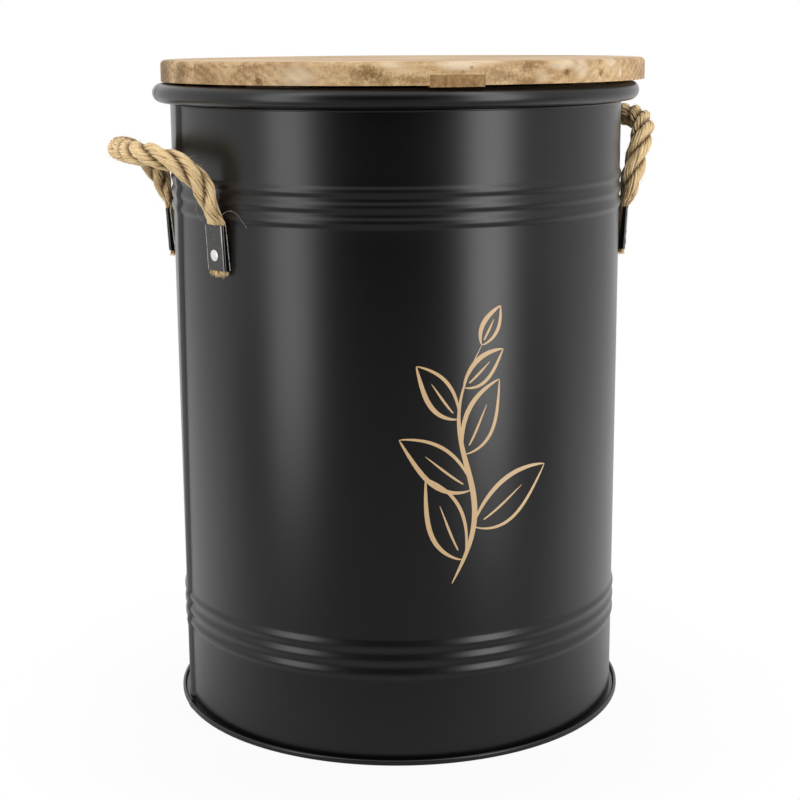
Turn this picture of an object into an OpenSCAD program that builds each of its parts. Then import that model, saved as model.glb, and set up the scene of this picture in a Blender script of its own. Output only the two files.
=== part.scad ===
// Pellet bucket: a lidded sheet-steel bucket with two rope handles and a glued wooden lid.
// Millimetres, +Z up. The origin is the middle of the base, on the surface that it stands on.
// The handles are on the X axis, and the front is towards -Y.

/* [Bucket wall] */
// Outer radius of the plain wall
body_radius = 142.3; // [125:0.1:165]
// Height of the rolled rim above the floor
rim_top = 400.1; // [340:0.1:460]
// Thickness of the steel sheet
sheet = 0.7; // [0.5:0.05:1]
// Diameter of the rolled rim
rim_bead = 11.6; // [9:0.1:13]
// Turn of the rolled rim before its edge stops
rim_curl = 315; // [270:1:320]
// Distance that the bottom seam stands out of the wall
hem_reach = 4.7; // [3.6:0.1:6]

/* [Pressed ribs] */
// Height of a rib above the wall
rib_height = 1.1; // [0.5:0.1:1.5]
// Distance between neighbouring ribs
rib_pitch = 8.75; // [7:0.05:10]
// Ribs in each group
rib_count = 3; // [2:1:4]
// Drop from the rim's top to the middle of the upper ribs
upper_ribs_drop = 66.3; // [58:0.1:75]
// Rise from the floor to the middle of the lower ribs
lower_ribs_rise = 65; // [40:0.5:90]

/* [Side seam] */
// Width of the folded side seam
seam_width = 13; // [8:0.5:16]
// Height of the side seam above the wall
seam_rise = 2.5; // [0.5:0.1:3]
// Direction of the side seam round the bucket
seam_turn = 181; // [168:0.5:192]

/* [Rope clamps] */
// Angle between the middle of a handle and each of its clamps
clamp_turn = 22.6; // [18:0.1:28]
// Width of a clamp
clamp_width = 16.5; // [13:0.1:18]
// Length of a clamp
clamp_length = 27; // [24:0.5:36]
// Depth of a clamp at its lower end
clamp_depth_low = 4.8; // [4:0.1:6]
// Depth of a clamp at its mouth, where the rope enters
clamp_depth_high = 6.2; // [5:0.1:8]
// Thickness of a clamp's sheet
clamp_sheet = 1; // [0.8:0.1:1.4]
// Gap between a clamp's sides and the wall at its mouth
clamp_lift = 2.6; // [0.1:0.1:3.4]
// Gap between a clamp's mouth and the ribs above it
clamp_drop = 0.1; // [0.1:0.1:3]

/* [Rivets] */
// Height of a rivet above the lower end of its clamp
rivet_rise = 9; // [8:0.5:14]
// Diameter of a rivet's domed head
rivet_head = 6.8; // [5.5:0.1:8]
// Height of a rivet's domed head
rivet_dome = 0.8; // [0.6:0.1:2]
// Diameter of a rivet's shank
rivet_shank = 4; // [3:0.1:5]
// Diameter of the washer under a rivet's closed end
washer_width = 10; // [9:0.5:11]
// Thickness of that washer
washer_sheet = 0.8; // [0.6:0.1:1.2]

/* [Rope handles] */
// Diameter of the rope
rope_width = 14; // [11:0.5:14.5]
// Height of a handle along its leaning face
handle_height = 53; // [44:0.5:58]
// Lean of the left handle where it leaves the clamps
left_lean_low = 6; // [2:1:20]
// Lean of the left handle at its top
left_lean_high = 92; // [60:1:100]
// Lean of the right handle where it leaves the clamps
right_lean_low = 4; // [2:1:20]
// Lean of the right handle at its top
right_lean_high = 48.5; // [32:0.5:60]
// Length of rope that shows below a clamp
rope_tail = 2.5; // [1:0.5:8]

/* [Lid] */
// Distance that the lid reaches past the wall
lid_overhang = 9.7; // [8:0.1:14]
// Thickness of the lid
lid_thickness = 13; // [12:0.5:20]
// Rounding of the lid's upper edge
lid_round = 3; // [1:0.1:4]
// Direction in which the batten crosses the lid
lid_turn = -9.6; // [-20:0.1:20]
// Sideways play of the locating blocks in the mouth
lid_play = 7; // [6:0.5:10]
// Distance by which the lid lies off centre, to the right
lid_shift_x = 4.1; // [0:0.1:4.5]
// Distance by which the lid lies off centre, to the front
lid_shift_y = 1.6; // [0:0.1:3]

/* [Lid fittings] */
// Width of each of the lid's two middle staves; the outer two run on to the edge
stave_width = 66; // [58:0.5:74]
// Width of the batten
batten_width = 31; // [26:0.5:40]
// Depth to which the batten is let into the lid
batten_depth = 5.5; // [4.5:0.5:6]
// Distance that the batten stands out under the lid
batten_proud = 1; // [0.5:0.1:2]
// Length of a locating block
block_length = 40; // [34:1:50]
// Width of a locating block
block_width = 18; // [14:0.5:24]
// Height of a locating block
block_height = 12; // [10:0.5:16]
// Diameter of a screw's head
screw_head = 7; // [6:0.1:8]
// Diameter of a screw's shank
screw_shank = 3.5; // [3:0.1:4]
// Depth to which a batten screw bites into its stave
batten_bite = 4.5; // [4:0.5:5.5]
// Depth to which a block screw bites into its stave
block_bite = 8; // [6:0.5:9.5]
// Distance between the two screws of a block
block_screw_gap = 24; // [20:1:26]

/* [Hidden] */
$fn = 96;

// Colours
black = "#1c1c1d";
steel = "#c9c9c6";
jute = "#b89462";
wood = "#cda36b";
dark_wood = "#8d6136";

// Small clearances
fold_gap = 0.05;
seat_gap = 0.2;
hole_gap = 0.1;
glue_line = 0.1;
overcut = 1;

// Bucket
rib_steps = 8;
upper_ribs_z = rim_top - upper_ribs_drop;
lower_ribs_z = lower_ribs_rise;
mouth_radius = body_radius - sheet;
rim_radius = mouth_radius + rim_bead / 2;
rim_z = rim_top - rim_bead / 2;
hem_height = 3 * sheet + 2 * fold_gap;
hem_middle = body_radius + hem_reach - hem_height / 2;
seam_clear = 2;

// Directions of the clamps round the bucket
left_front = 180 + clamp_turn;
left_rear = 180 - clamp_turn;
right_front = -clamp_turn;
right_rear = clamp_turn;

// Clamps and rivets
clamp_top = upper_ribs_z - rib_count * rib_pitch / 2 - clamp_drop;
clamp_foot = clamp_top - clamp_length;
clamp_tilt = atan((clamp_depth_high - clamp_depth_low) / clamp_length);
rivet_hole = rivet_shank + 2 * hole_gap;
rivet_face = clamp_depth_at(rivet_rise);
washer_gap = 0.4;
washer_in = rivet_face / cos(clamp_tilt) + sheet + washer_gap + washer_sheet;
tail_spread = 2.5;
tail_head = rivet_shank + tail_spread;
tail_dome = 1.6;

// Rope handles
rope_radius = rope_width / 2;
neck_pinch = 1.4;
rope_neck = rope_radius - neck_pinch;
neck_length = 34;
swing_gap = 0.6;
hinge_radius = body_radius + rib_height + rope_neck + swing_gap;
hinge_x = hinge_radius * cos(clamp_turn);
handle_half_span = hinge_radius * sin(clamp_turn);
hinge_rise = 3.5;
hinge_z = clamp_top + rope_neck + hinge_rise;
rope_end_top = 3;
rope_end_lean = 2;
loop_power = 2 / 3;
loop_rings = 28;
loop_sides = 12;
cap_turns = [75, 50, 25];

// Lid, of staves glued side by side
lid_radius = body_radius + lid_overhang;
lid_under = rim_top + seat_gap + batten_proud;
stave_lines = [-lid_radius, -stave_width, 0, stave_width, lid_radius];
block_corner = mouth_radius - lid_play;
block_reach = sqrt(block_corner ^ 2 - (block_length / 2) ^ 2);
batten_screw_length = batten_depth + batten_proud + batten_bite;
block_screw_length = block_height + block_bite;
screw_sink = (screw_head - screw_shank) / 2;

// Wall

function rib_rise(z, middle) =
    let (turns = (z - middle) / rib_pitch + rib_count / 2)
    turns <= 0 || turns >= rib_count ? 0 : rib_height * (1 - cos(360 * turns)) / 2;

function wall_face(z) = body_radius + rib_rise(z, lower_ribs_z) + rib_rise(z, upper_ribs_z);

function rib_levels(middle) =
    [for (i = [0 : rib_count * rib_steps]) middle + (i / rib_steps - rib_count / 2) * rib_pitch];

module wall_section(low, high, thickness = sheet) {
    levels = concat([low], rib_levels(lower_ribs_z), rib_levels(upper_ribs_z), [high]);
    last = len(levels) - 1;
    outside = [for (z = levels) [wall_face(z), z]];
    inside = [for (i = [last : -1 : 0]) [wall_face(levels[i]) - thickness, levels[i]]];
    polygon(concat(outside, inside));
}

module rim_section() {
    far = rim_bead;
    translate([rim_radius, rim_z]) difference() {
        circle(d = rim_bead);
        circle(d = rim_bead - 2 * sheet);
        polygon([[0, 0], for (a = [180 : (360 - rim_curl) / 4 : 540 - rim_curl]) far * [cos(a), sin(a)]]);
    }
}

module shell_section() {
    flange_low = sheet + fold_gap;
    wall_section(flange_low, rim_z);
    rim_section();
    translate([mouth_radius, flange_low]) square([hem_middle - mouth_radius, sheet]);
}

module side_seam() {
    turn = 2 * asin(seam_width / 2 / body_radius);
    low = hem_height + seam_clear;
    high = rim_z - rim_bead / 2 - seam_clear;
    rotate([0, 0, seam_turn - turn / 2])
        rotate_extrude(angle = turn)
            translate([seam_rise, 0]) wall_section(low, high, seam_rise + sheet / 2);
}

module body_shell() {
    color(black) difference() {
        union() {
            rotate_extrude($fn = 180) shell_section();
            side_seam();
        }
        for (direction = [left_front, left_rear, right_front, right_rear])
            at_rivet(direction) cylinder(d = rivet_hole, h = 4 * washer_in, center = true);
    }
}

module hem_section() {
    lap = body_radius + 3 * fold_gap;
    square([hem_middle, sheet]);
    translate([hem_middle, hem_height / 2]) difference() {
        circle(d = hem_height);
        circle(d = hem_height - 2 * sheet);
        translate([-hem_height, -hem_height / 2]) square(hem_height);
    }
    translate([lap, hem_height - sheet]) square([hem_middle - lap, sheet]);
}

module bottom_pan() {
    color(black) rotate_extrude($fn = 180) hem_section();
}

// Clamps and rivets. In their frame the wall is at x = 0 and the clamp's lower end at z = 0.

function clamp_depth_at(z) =
    clamp_depth_low + (clamp_depth_high - clamp_depth_low) * z / clamp_length;

module at_clamp(direction) {
    rotate([0, 0, direction]) translate([body_radius, 0, clamp_foot]) children();
}

module at_rivet(direction) {
    at_clamp(direction) translate([rivet_face, 0, rivet_rise]) rotate([0, 90 + clamp_tilt, 0]) children();
}

module upright_slab(width, points) {
    rotate([90, 0, 0]) linear_extrude(width, center = true) polygon(points);
}

module clamp(direction) {
    high = clamp_length + overcut;
    color(black) difference() {
        at_clamp(direction) difference() {
            upright_slab(clamp_width, [
                [hole_gap, 0], [clamp_depth_low, 0],
                [clamp_depth_high, clamp_length], [clamp_lift, clamp_length]
            ]);
            upright_slab(clamp_width - 2 * clamp_sheet, [
                [-overcut, -overcut], [clamp_depth_at(-overcut) - clamp_sheet, -overcut],
                [clamp_depth_at(high) - clamp_sheet, high], [-overcut, high]
            ]);
        }
        at_rivet(direction) cylinder(d = rivet_hole, h = 4 * clamp_sheet, center = true);
    }
}

module dome(width, height) {
    ball = (width ^ 2 / 4 + height ^ 2) / (2 * height);
    intersection() {
        translate([0, 0, height - ball]) sphere(ball);
        cylinder(d = width, h = height);
    }
}

module rivet(direction) {
    color(steel) at_rivet(direction) {
        dome(rivet_head, rivet_dome);
        translate([0, 0, -washer_in]) cylinder(d = rivet_shank, h = washer_in + rivet_dome / 2);
        translate([0, 0, -washer_in]) mirror([0, 0, 1]) dome(tail_head, tail_dome);
    }
}

module washer(direction) {
    color(steel) at_rivet(direction) translate([0, 0, -washer_in]) difference() {
        cylinder(d = washer_width, h = washer_sheet);
        translate([0, 0, -overcut]) cylinder(d = rivet_hole, h = washer_sheet + 2 * overcut);
    }
}

// Rope

module rope_end(direction) {
    rope_inside = clamp_sheet + seat_gap;
    flat_width = clamp_width - 2 * rope_inside;
    lean = [rope_end_lean, rope_end_top];
    back = [seat_gap, clamp_length];
    front = [clamp_depth_high - rope_inside, clamp_length];
    color(jute) difference() {
        at_clamp(direction)
            upright_slab(flat_width, [
                [seat_gap, -rope_tail], [clamp_depth_at(-rope_tail) - rope_inside, -rope_tail],
                front, front + lean, back + lean, back
            ]);
        at_rivet(direction) cylinder(d = rivet_hole, h = 4 * clamp_depth_high, center = true);
    }
}

// The loop's face leans out by the angle lean(), which grows along the height h above the hinge.
function lean(h, low, high) = low + (high - low) * h / handle_height;

function lean_bend(low, high) = handle_height * 180 / PI / (high - low);

function face_point(side, h, low, high) =
    let (bend = lean_bend(low, high), now = lean(h, low, high))
    [bend * (cos(low) - cos(now)), side, bend * (sin(now) - sin(low))];

function loop_turn(i) = 90 * (1 - cos(180 * i / loop_rings));

function loop_side(turn) =
    handle_half_span * sign(cos(turn)) * pow(abs(cos(turn)), loop_power);

function loop_height(turn) = handle_height * pow(max(sin(turn), 0), loop_power);

function loop_point(turn, low, high) =
    face_point(loop_side(turn), loop_height(turn), low, high);

function unit(v) = v / norm(v);

function loop_course(i, low, high) =
    i == 0 ? [sin(low), 0, cos(low)]
    : i == loop_rings ? [-sin(low), 0, -cos(low)]
    : unit(loop_point(loop_turn(i + 1), low, high) - loop_point(loop_turn(i - 1), low, high));

function ring(middle, course, outward, radius) =
    let (across = cross(outward, course))
    [for (s = [0 : loop_sides - 1])
        middle + radius * (outward * cos(360 * s / loop_sides) + across * sin(360 * s / loop_sides))];

function cap_rings(i, low, high, back) =
    let (course = loop_course(i, low, high), middle = loop_point(loop_turn(i), low, high))
    [for (a = back ? cap_turns : [for (k = [2 : -1 : 0]) cap_turns[k]])
        ring(middle + (back ? -1 : 1) * course * rope_neck * sin(a), course,
            [cos(low), 0, -sin(low)], rope_neck * cos(a))];

function body_rings(low, high) =
    [for (i = [0 : loop_rings])
        let (turn = loop_turn(i), h = loop_height(turn), now = lean(h, low, high))
        ring(loop_point(turn, low, high), loop_course(i, low, high), [cos(now), 0, -sin(now)],
            rope_radius - (rope_radius - rope_neck) * max(0, 1 - h / neck_length))];

module tube(rings) {
    count = len(rings);
    sides = loop_sides;
    walls = [for (r = [0 : count - 2]) for (s = [0 : sides - 1])
        let (a = r * sides + s, b = r * sides + (s + 1) % sides)
        each [[a, b, b + sides], [a, b + sides, a + sides]]];
    polyhedron(
        [for (r = rings) each r],
        concat(walls, [[for (s = [sides - 1 : -1 : 0]) s]],
            [[for (s = [0 : sides - 1]) (count - 1) * sides + s]])
    );
}

module rope_handle(direction, low, high) {
    color(jute) rotate([0, 0, direction]) translate([hinge_x, 0, hinge_z])
        tube(concat(cap_rings(0, low, high, true), body_rings(low, high),
            cap_rings(loop_rings, low, high, false)));
}

// Lid. In its frame the middle of the staves' underside is the origin, and they run along X.

module at_lid() {
    translate([lid_shift_x, -lid_shift_y, lid_under]) rotate([0, 0, lid_turn]) children();
}

module lid_disc() {
    rotate_extrude($fn = 180) {
        square([lid_radius - lid_round, lid_thickness]);
        square([lid_radius, lid_thickness - lid_round]);
        translate([lid_radius - lid_round, lid_thickness - lid_round]) circle(lid_round);
    }
}

module screw(length, play) {
    cylinder(d = screw_shank + 2 * play, h = length + play);
    translate([0, 0, -play]) cylinder(d1 = screw_head + 4 * play, d2 = screw_shank, h = screw_sink + 2 * play);
}

module batten_screw_set(play) {
    for (i = [0 : 3])
        translate([0, (stave_lines[i] + stave_lines[i + 1]) / 2, -batten_proud])
            screw(batten_screw_length, play);
}

module at_block(i) {
    rotate([0, 0, 45 + 90 * i]) translate([block_reach - block_width / 2, 0, 0]) children();
}

module block_screw_set(play) {
    for (i = [0 : 3]) at_block(i)
        for (side = [-0.5, 0.5])
            translate([0, side * block_screw_gap, -block_height]) screw(block_screw_length, play);
}

module lid_stave(i) {
    groove = batten_width + 2 * hole_gap;
    color(wood) at_lid() difference() {
        intersection() {
            lid_disc();
            translate([-lid_radius, stave_lines[i] + glue_line / 2, 0])
                cube([2 * lid_radius, stave_lines[i + 1] - stave_lines[i] - glue_line, lid_thickness]);
        }
        translate([-groove / 2, -lid_radius - overcut, -overcut])
            cube([groove, 2 * (lid_radius + overcut), batten_depth + hole_gap + overcut]);
        batten_screw_set(hole_gap);
        block_screw_set(hole_gap);
    }
}

module lid_batten() {
    color(dark_wood) at_lid() difference() {
        intersection() {
            translate([-batten_width / 2, -lid_radius, -batten_proud])
                cube([batten_width, 2 * lid_radius, batten_depth + batten_proud]);
            translate([0, 0, -overcut]) cylinder(r = lid_radius, h = lid_thickness, $fn = 180);
        }
        batten_screw_set(hole_gap);
    }
}

module lid_block(i) {
    color(wood) at_lid() difference() {
        at_block(i) translate([-block_width / 2, -block_length / 2, -block_height])
            cube([block_width, block_length, block_height]);
        block_screw_set(hole_gap);
    }
}

module batten_screws() {
    color(steel) at_lid() batten_screw_set(0);
}

module block_screws() {
    color(steel) at_lid() block_screw_set(0);
}

body_shell();
bottom_pan();
clamp(left_front);  // left_front_clamp
clamp(left_rear);  // left_rear_clamp
clamp(right_front);  // right_front_clamp
clamp(right_rear);  // right_rear_clamp
rivet(left_front);  // left_front_rivet
rivet(left_rear);  // left_rear_rivet
rivet(right_front);  // right_front_rivet
rivet(right_rear);  // right_rear_rivet
washer(left_front);  // left_front_washer
washer(left_rear);  // left_rear_washer
washer(right_front);  // right_front_washer
washer(right_rear);  // right_rear_washer
rope_end(left_front);  // left_front_rope_end
rope_end(left_rear);  // left_rear_rope_end
rope_end(right_front);  // right_front_rope_end
rope_end(right_rear);  // right_rear_rope_end
rope_handle(180, left_lean_low, left_lean_high);  // left_rope_handle
rope_handle(0, right_lean_low, right_lean_high);  // right_rope_handle
lid_stave(0);  // lid_stave_1
lid_stave(1);  // lid_stave_2
lid_stave(2);  // lid_stave_3
lid_stave(3);  // lid_stave_4
lid_batten();
lid_block(0);  // lid_block_1
lid_block(1);  // lid_block_2
lid_block(2);  // lid_block_3
lid_block(3);  // lid_block_4
batten_screws();
block_screws();
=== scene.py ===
from math import asin, cos, pi, radians, sin

import bmesh
import bpy
import numpy as np
from mathutils import Matrix, Vector


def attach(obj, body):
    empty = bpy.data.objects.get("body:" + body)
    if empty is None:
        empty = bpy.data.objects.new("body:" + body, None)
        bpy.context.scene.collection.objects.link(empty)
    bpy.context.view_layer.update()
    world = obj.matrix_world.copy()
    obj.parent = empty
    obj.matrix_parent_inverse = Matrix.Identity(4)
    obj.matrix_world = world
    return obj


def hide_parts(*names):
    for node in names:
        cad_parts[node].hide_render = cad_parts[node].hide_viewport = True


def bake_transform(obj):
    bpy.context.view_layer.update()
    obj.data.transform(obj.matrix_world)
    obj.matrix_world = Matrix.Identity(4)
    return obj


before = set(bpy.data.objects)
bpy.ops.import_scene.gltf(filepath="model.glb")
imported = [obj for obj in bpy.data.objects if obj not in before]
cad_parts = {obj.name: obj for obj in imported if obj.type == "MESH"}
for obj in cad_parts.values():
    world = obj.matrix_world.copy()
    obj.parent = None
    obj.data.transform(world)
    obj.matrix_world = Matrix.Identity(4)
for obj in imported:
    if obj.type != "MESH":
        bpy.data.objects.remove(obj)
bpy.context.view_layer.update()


# Camera. It stands where the photograph was taken from: a little above the rim, to the left of
# the bucket's front, and looks down at the middle of the wall.

CAMERA_AWAY = 1.0788
CAMERA_HEIGHT = 0.4278
CAMERA_TURN = radians(-21)
CAMERA_DOWN = radians(12.29)
CAMERA_ROLL = radians(-0.365)
CAMERA_ASIDE = 0.0015
CAMERA_LENS = 75.17
CAMERA_FILM = 36
CAMERA_NEAREST = 0.05
TOWARDS_CAMERA = Vector((sin(CAMERA_TURN), -cos(CAMERA_TURN), 0))
RIGHT_OF_CAMERA = Vector((cos(CAMERA_TURN), sin(CAMERA_TURN), 0))

camera = bpy.data.objects.new("camera", bpy.data.cameras.new("camera"))
camera.data.lens = CAMERA_LENS
camera.data.sensor_width = CAMERA_FILM
camera.data.clip_start = CAMERA_NEAREST
camera.matrix_world = (
    Matrix.Translation(TOWARDS_CAMERA * CAMERA_AWAY + RIGHT_OF_CAMERA * CAMERA_ASIDE
                       + Vector((0, 0, CAMERA_HEIGHT)))
    @ Matrix.Rotation(CAMERA_TURN, 4, "Z")
    @ Matrix.Rotation(pi / 2 - CAMERA_DOWN, 4, "X")
    @ Matrix.Rotation(CAMERA_ROLL, 4, "Z")
)
bpy.context.collection.objects.link(camera)
bpy.context.scene.camera = camera


# Wall of the bucket. It is black-painted steel sheet, rolled round and locked in a side seam, with
# two groups of pressed ribs, an edge curled outwards into the rim, and a flange at its foot.

MM = 0.001
WALL = 142.3 * MM
SHEET = 0.7 * MM
RIB_PITCH = 8.75 * MM
RIB_COUNT = 3
RIB_HEIGHT = 1.1 * MM
RIB_MIDDLES = (65 * MM, 333.8 * MM)
RIB_LEVELS = 49
PLAIN_WALL = (8 * MM, 384 * MM)
PLAIN_LEVELS = 48
WALL_ENDS = [3 * MM, 391 * MM]
RIM_TOP = 400.1 * MM
BEAD = 5.8 * MM
BEAD_MIDDLE = (WALL - SHEET + BEAD, RIM_TOP - BEAD)
CURL_END = radians(-135)
NECK_HEIGHT = 387.5 * MM
NECK_RISE = 0.35 * MM
NECK_SPREAD = 0.5 * MM
NECK_LEVELS = 15
FLANGE_FOOT = 0.75 * MM
FLANGE_REACH = 145.6 * MM
SEAM_EDGES = (radians(178.6), radians(181.9), radians(184.1))
SEAM_EDGE_HEIGHTS = (60 * MM, 290 * MM, 385 * MM)
SEAM_WIDTH = 10.5 * MM
SEAM_RISE = 1.95 * MM
SEAM_RAMP = 5.5 * MM
SEAM_RIB_SHARE = 0.5
SEAM_FOOT = 2 * MM
SEAM_TOP = 388 * MM
SEAM_ROUNDNESS = 1.4
SEAM_EDGE_SUNK = 0.02 * MM
SEAM_BACK_SUNK = 0.4 * MM
BEAD_NOTCH = radians(175.5)
BEAD_NOTCH_DEPTH = 0.5 * MM
BEAD_NOTCH_WIDTH = 0.9 * MM
NOTCH_COLUMNS = (174, 177)
COLUMN_STEPS = (1, 0.1)


class Shade:
    """A value in a material's nodes. Sums on it add Math nodes, and node() adds any other node."""

    def __init__(self, tree, socket=None):
        self.tree = tree
        self.socket = socket

    def node(self, kind, settings=None, inputs=None, out=0):
        made = self.tree.nodes.new("ShaderNode" + kind)
        for name, value in (settings or {}).items():
            if name == "stops":
                elements = made.color_ramp.elements
                for i, (place, tint) in enumerate(value):
                    stop = elements[i] if i < 2 else elements.new(place)
                    stop.position = place
                    stop.color = tint
            else:
                setattr(made, name, value)
        for name, value in (inputs or {}).items():
            if isinstance(value, Shade):
                self.tree.links.new(value.socket, made.inputs[name])
            else:
                made.inputs[name].default_value = value
        return Shade(self.tree, made.outputs[out] if made.outputs else None)

    def math(self, operation, first, second=0.0):
        return self.node("Math", {"operation": operation}, {0: first, 1: second})

    def __add__(self, other):
        return self.math("ADD", self, other)

    def __sub__(self, other):
        return self.math("SUBTRACT", self, other)

    def __rsub__(self, other):
        return self.math("SUBTRACT", other, self)

    def __mul__(self, other):
        return self.math("MULTIPLY", self, other)

    def __pow__(self, other):
        return self.math("POWER", self, other)

    __radd__ = __add__
    __rmul__ = __mul__

    def most(self, other):
        return self.math("MAXIMUM", self, other)

    def wave(self):
        return self.math("SINE", self)

    def rise(self, low, high):
        """0 at low and 1 at high, smoothly in between."""
        smooth = {"interpolation_type": "SMOOTHSTEP"}
        return self.node("MapRange", smooth, {0: self, 1: low, 2: high})

    def blend(self, low, high):
        """The colour low where this value is 0 and high where it is 1."""
        return self.node("Mix", {"data_type": "RGBA"}, {0: self, 6: low, 7: high}, out=2)

    def ramp(self, *stops):
        """The colour at this value between stops of (place, colour)."""
        return self.node("ValToRGB", {"stops": stops}, {0: self})

    def bump(self, strength, distance):
        """The normals of a surface that this value raises."""
        return self.node("Bump", None, {"Strength": strength, "Distance": distance, "Height": self})

    def part(self, axis):
        return self.node("SeparateXYZ", None, {0: self}, out=axis)

    def scaled(self, factors, shift=(0, 0, 0)):
        sockets = {0: self, 1: factors, 2: shift}
        return self.node("VectorMath", {"operation": "MULTIPLY_ADD"}, sockets)

    def length(self):
        return self.node("VectorMath", {"operation": "LENGTH"}, {0: self}, out="Value")

    def along(self, way):
        """How far this vector reaches along a way of length 1."""
        return self.node("VectorMath", {"operation": "DOT_PRODUCT"}, {0: self, 1: way}, out="Value")

    def within(self, location, rotation, scale=(1, 1, 1)):
        """This place as it is seen from a frame at this location, rotation and scale."""
        return self.node("Mapping", {"vector_type": "TEXTURE"}, {
            "Vector": self, "Location": location, "Rotation": rotation, "Scale": scale})

    def noise(self, scale, detail=2.0, roughness=0.5, warp=0.0):
        return self.node("TexNoise", None, {
            "Vector": self, "Scale": scale, "Detail": detail,
            "Roughness": roughness, "Distortion": warp})


def colour(red, green, blue):
    """A colour as a picture shows it, from 0 to 255, as the linear colour that nodes take."""
    parts = [c / 255 for c in (red, green, blue)]
    return (*(c / 12.92 if c <= 0.04045 else ((c + 0.055) / 1.055) ** 2.4 for c in parts), 1)


def start_material(name):
    """A new material and its nodes, empty."""
    material = bpy.data.materials.new(name)
    material.use_nodes = True
    material.node_tree.nodes.clear()
    return material, Shade(material.node_tree)


def end_material(nodes, sockets):
    """Closes a material with one shader that has these sockets."""
    shader = nodes.node("BsdfPrincipled", None, sockets)
    nodes.node("OutputMaterial", None, {"Surface": shader})


def add_piece(name, points, faces, material, smooth_below=35):
    """A mesh piece at its place in the frame, shaded smooth except across sharp edges."""
    mesh = bpy.data.meshes.new(name)
    mesh.from_pydata(points, [], faces)
    mesh.validate()
    mesh.shade_smooth()
    mesh.set_sharp_from_angle(angle=radians(smooth_below))
    mesh.materials.append(material)
    piece = bpy.data.objects.new(name, mesh)
    bpy.context.collection.objects.link(piece)
    return piece


def grid_faces(rows, columns):
    """Faces of a closed grid of points, that wraps round both ways: rows times columns."""
    here = np.arange(rows * columns).reshape(rows, columns)
    there = np.roll(here, -1, axis=1)
    faces = np.stack([here, there, np.roll(there, -1, axis=0), np.roll(here, -1, axis=0)], axis=-1)
    return faces.reshape(-1, 4).tolist()


def turned(section, directions, lift=None):
    """A closed section of (radius, height) points, moved out by lift and turned round the axis."""
    section = np.array(section)
    rings = []
    for direction in directions:
        radius = section[:, 0] + (lift(section, direction) if lift else 0)
        x, y = radius * cos(direction), radius * sin(direction)
        rings.append(np.stack([x, y, section[:, 1]], axis=1))
    return np.concatenate(rings), grid_faces(len(directions), len(section))


def smooth_step(value, low, high):
    """0 below low and 1 above high, smoothly in between."""
    part = np.clip((value - low) / (high - low), 0, 1)
    return part * part * (3 - 2 * part)


def rib_rise(z):
    """How far the pressed ribs stand out at a height."""
    rise = np.zeros_like(z)
    for middle in RIB_MIDDLES:
        turns = (z - middle) / RIB_PITCH + RIB_COUNT / 2
        wave = RIB_HEIGHT * (1 - np.cos(2 * pi * turns)) / 2
        rise += np.where((turns > 0) & (turns < RIB_COUNT), wave, 0)
    return rise


def wall_levels():
    """Heights up the wall, close together at the ribs, the foot and the neck under the rim."""
    half = RIB_COUNT * RIB_PITCH / 2
    ribs = [np.linspace(m - half, m + half, RIB_LEVELS) for m in RIB_MIDDLES]
    low, high = NECK_HEIGHT - 4 * NECK_SPREAD, NECK_HEIGHT + 3 * NECK_SPREAD
    neck = np.linspace(low, high, NECK_LEVELS)
    plain = np.linspace(*PLAIN_WALL, PLAIN_LEVELS)
    for z in ribs:
        plain = plain[(plain < z[0] - MM) | (plain > z[-1] + MM)]
    return np.unique(np.concatenate([plain, *ribs, neck, WALL_ENDS]))


def arc_points(middle, radius, start, end, count):
    """Points on an arc from the turn start to the turn end."""
    turns = np.linspace(start, end, count)
    across, up = middle
    return np.stack([across + radius * np.cos(turns), up + radius * np.sin(turns)], axis=1)


def notch_lift(section, direction):
    """The fine notch where the side seam crosses the rim."""
    aside = WALL * (direction - BEAD_NOTCH) / BEAD_NOTCH_WIDTH
    return -BEAD_OUTSIDE * BEAD_NOTCH_DEPTH * np.exp(-aside ** 2)


def seam_outline():
    """Section of the side seam: distance back from its front edge, and height over the wall."""
    across = np.linspace(0, SEAM_WIDTH, 43)
    height = SEAM_RISE * (1 - np.maximum(1 - across / SEAM_RAMP, 0) ** SEAM_ROUNDNESS)
    height *= 1 - smooth_step(across, SEAM_RAMP + MM, SEAM_WIDTH)
    top = np.stack([across, height - SEAM_EDGE_SUNK], axis=1)
    return np.concatenate([top, [(SEAM_WIDTH, -SEAM_BACK_SUNK), (0, -SEAM_BACK_SUNK)]])


def tube_faces(rings, sides, first=0):
    """Faces of a tube that is closed at both ends."""
    faces = []
    for r in range(rings - 1):
        for k in range(sides):
            a, b = first + r * sides + k, first + r * sides + (k + 1) % sides
            faces.append([a, b, b + sides, a + sides])
    last = first + (rings - 1) * sides
    return faces + [[first + k for k in range(sides - 1, -1, -1)], [last + k for k in range(sides)]]


levels = wall_levels()
neck = NECK_RISE * np.exp(-((levels - NECK_HEIGHT) / NECK_SPREAD) ** 2)
outer_wall = np.stack([WALL + rib_rise(levels) + neck, levels], axis=1)
inner_wall = np.stack([WALL - SHEET + rib_rise(levels), levels], axis=1)[::-1]
flange = np.array([
    (WALL - SHEET, FLANGE_FOOT), (FLANGE_REACH, FLANGE_FOOT),
    (FLANGE_REACH, FLANGE_FOOT + SHEET), (WALL, FLANGE_FOOT + SHEET),
])
inside_curl = arc_points(BEAD_MIDDLE, BEAD - SHEET, pi, CURL_END, 40)
outside_curl = arc_points(BEAD_MIDDLE, BEAD, CURL_END, pi, 64)
parts = [flange, outer_wall, inside_curl, outside_curl, inner_wall]
section = np.concatenate(parts)
lengths = [len(p) for p in parts]
BEAD_OUTSIDE = np.repeat([0, 0, 0, 1, 0], lengths)
coarse, fine = COLUMN_STEPS
columns = np.radians(np.concatenate([
    np.arange(0, NOTCH_COLUMNS[0], coarse), np.arange(*NOTCH_COLUMNS, fine),
    np.arange(NOTCH_COLUMNS[1], 360, coarse),
]))


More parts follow.
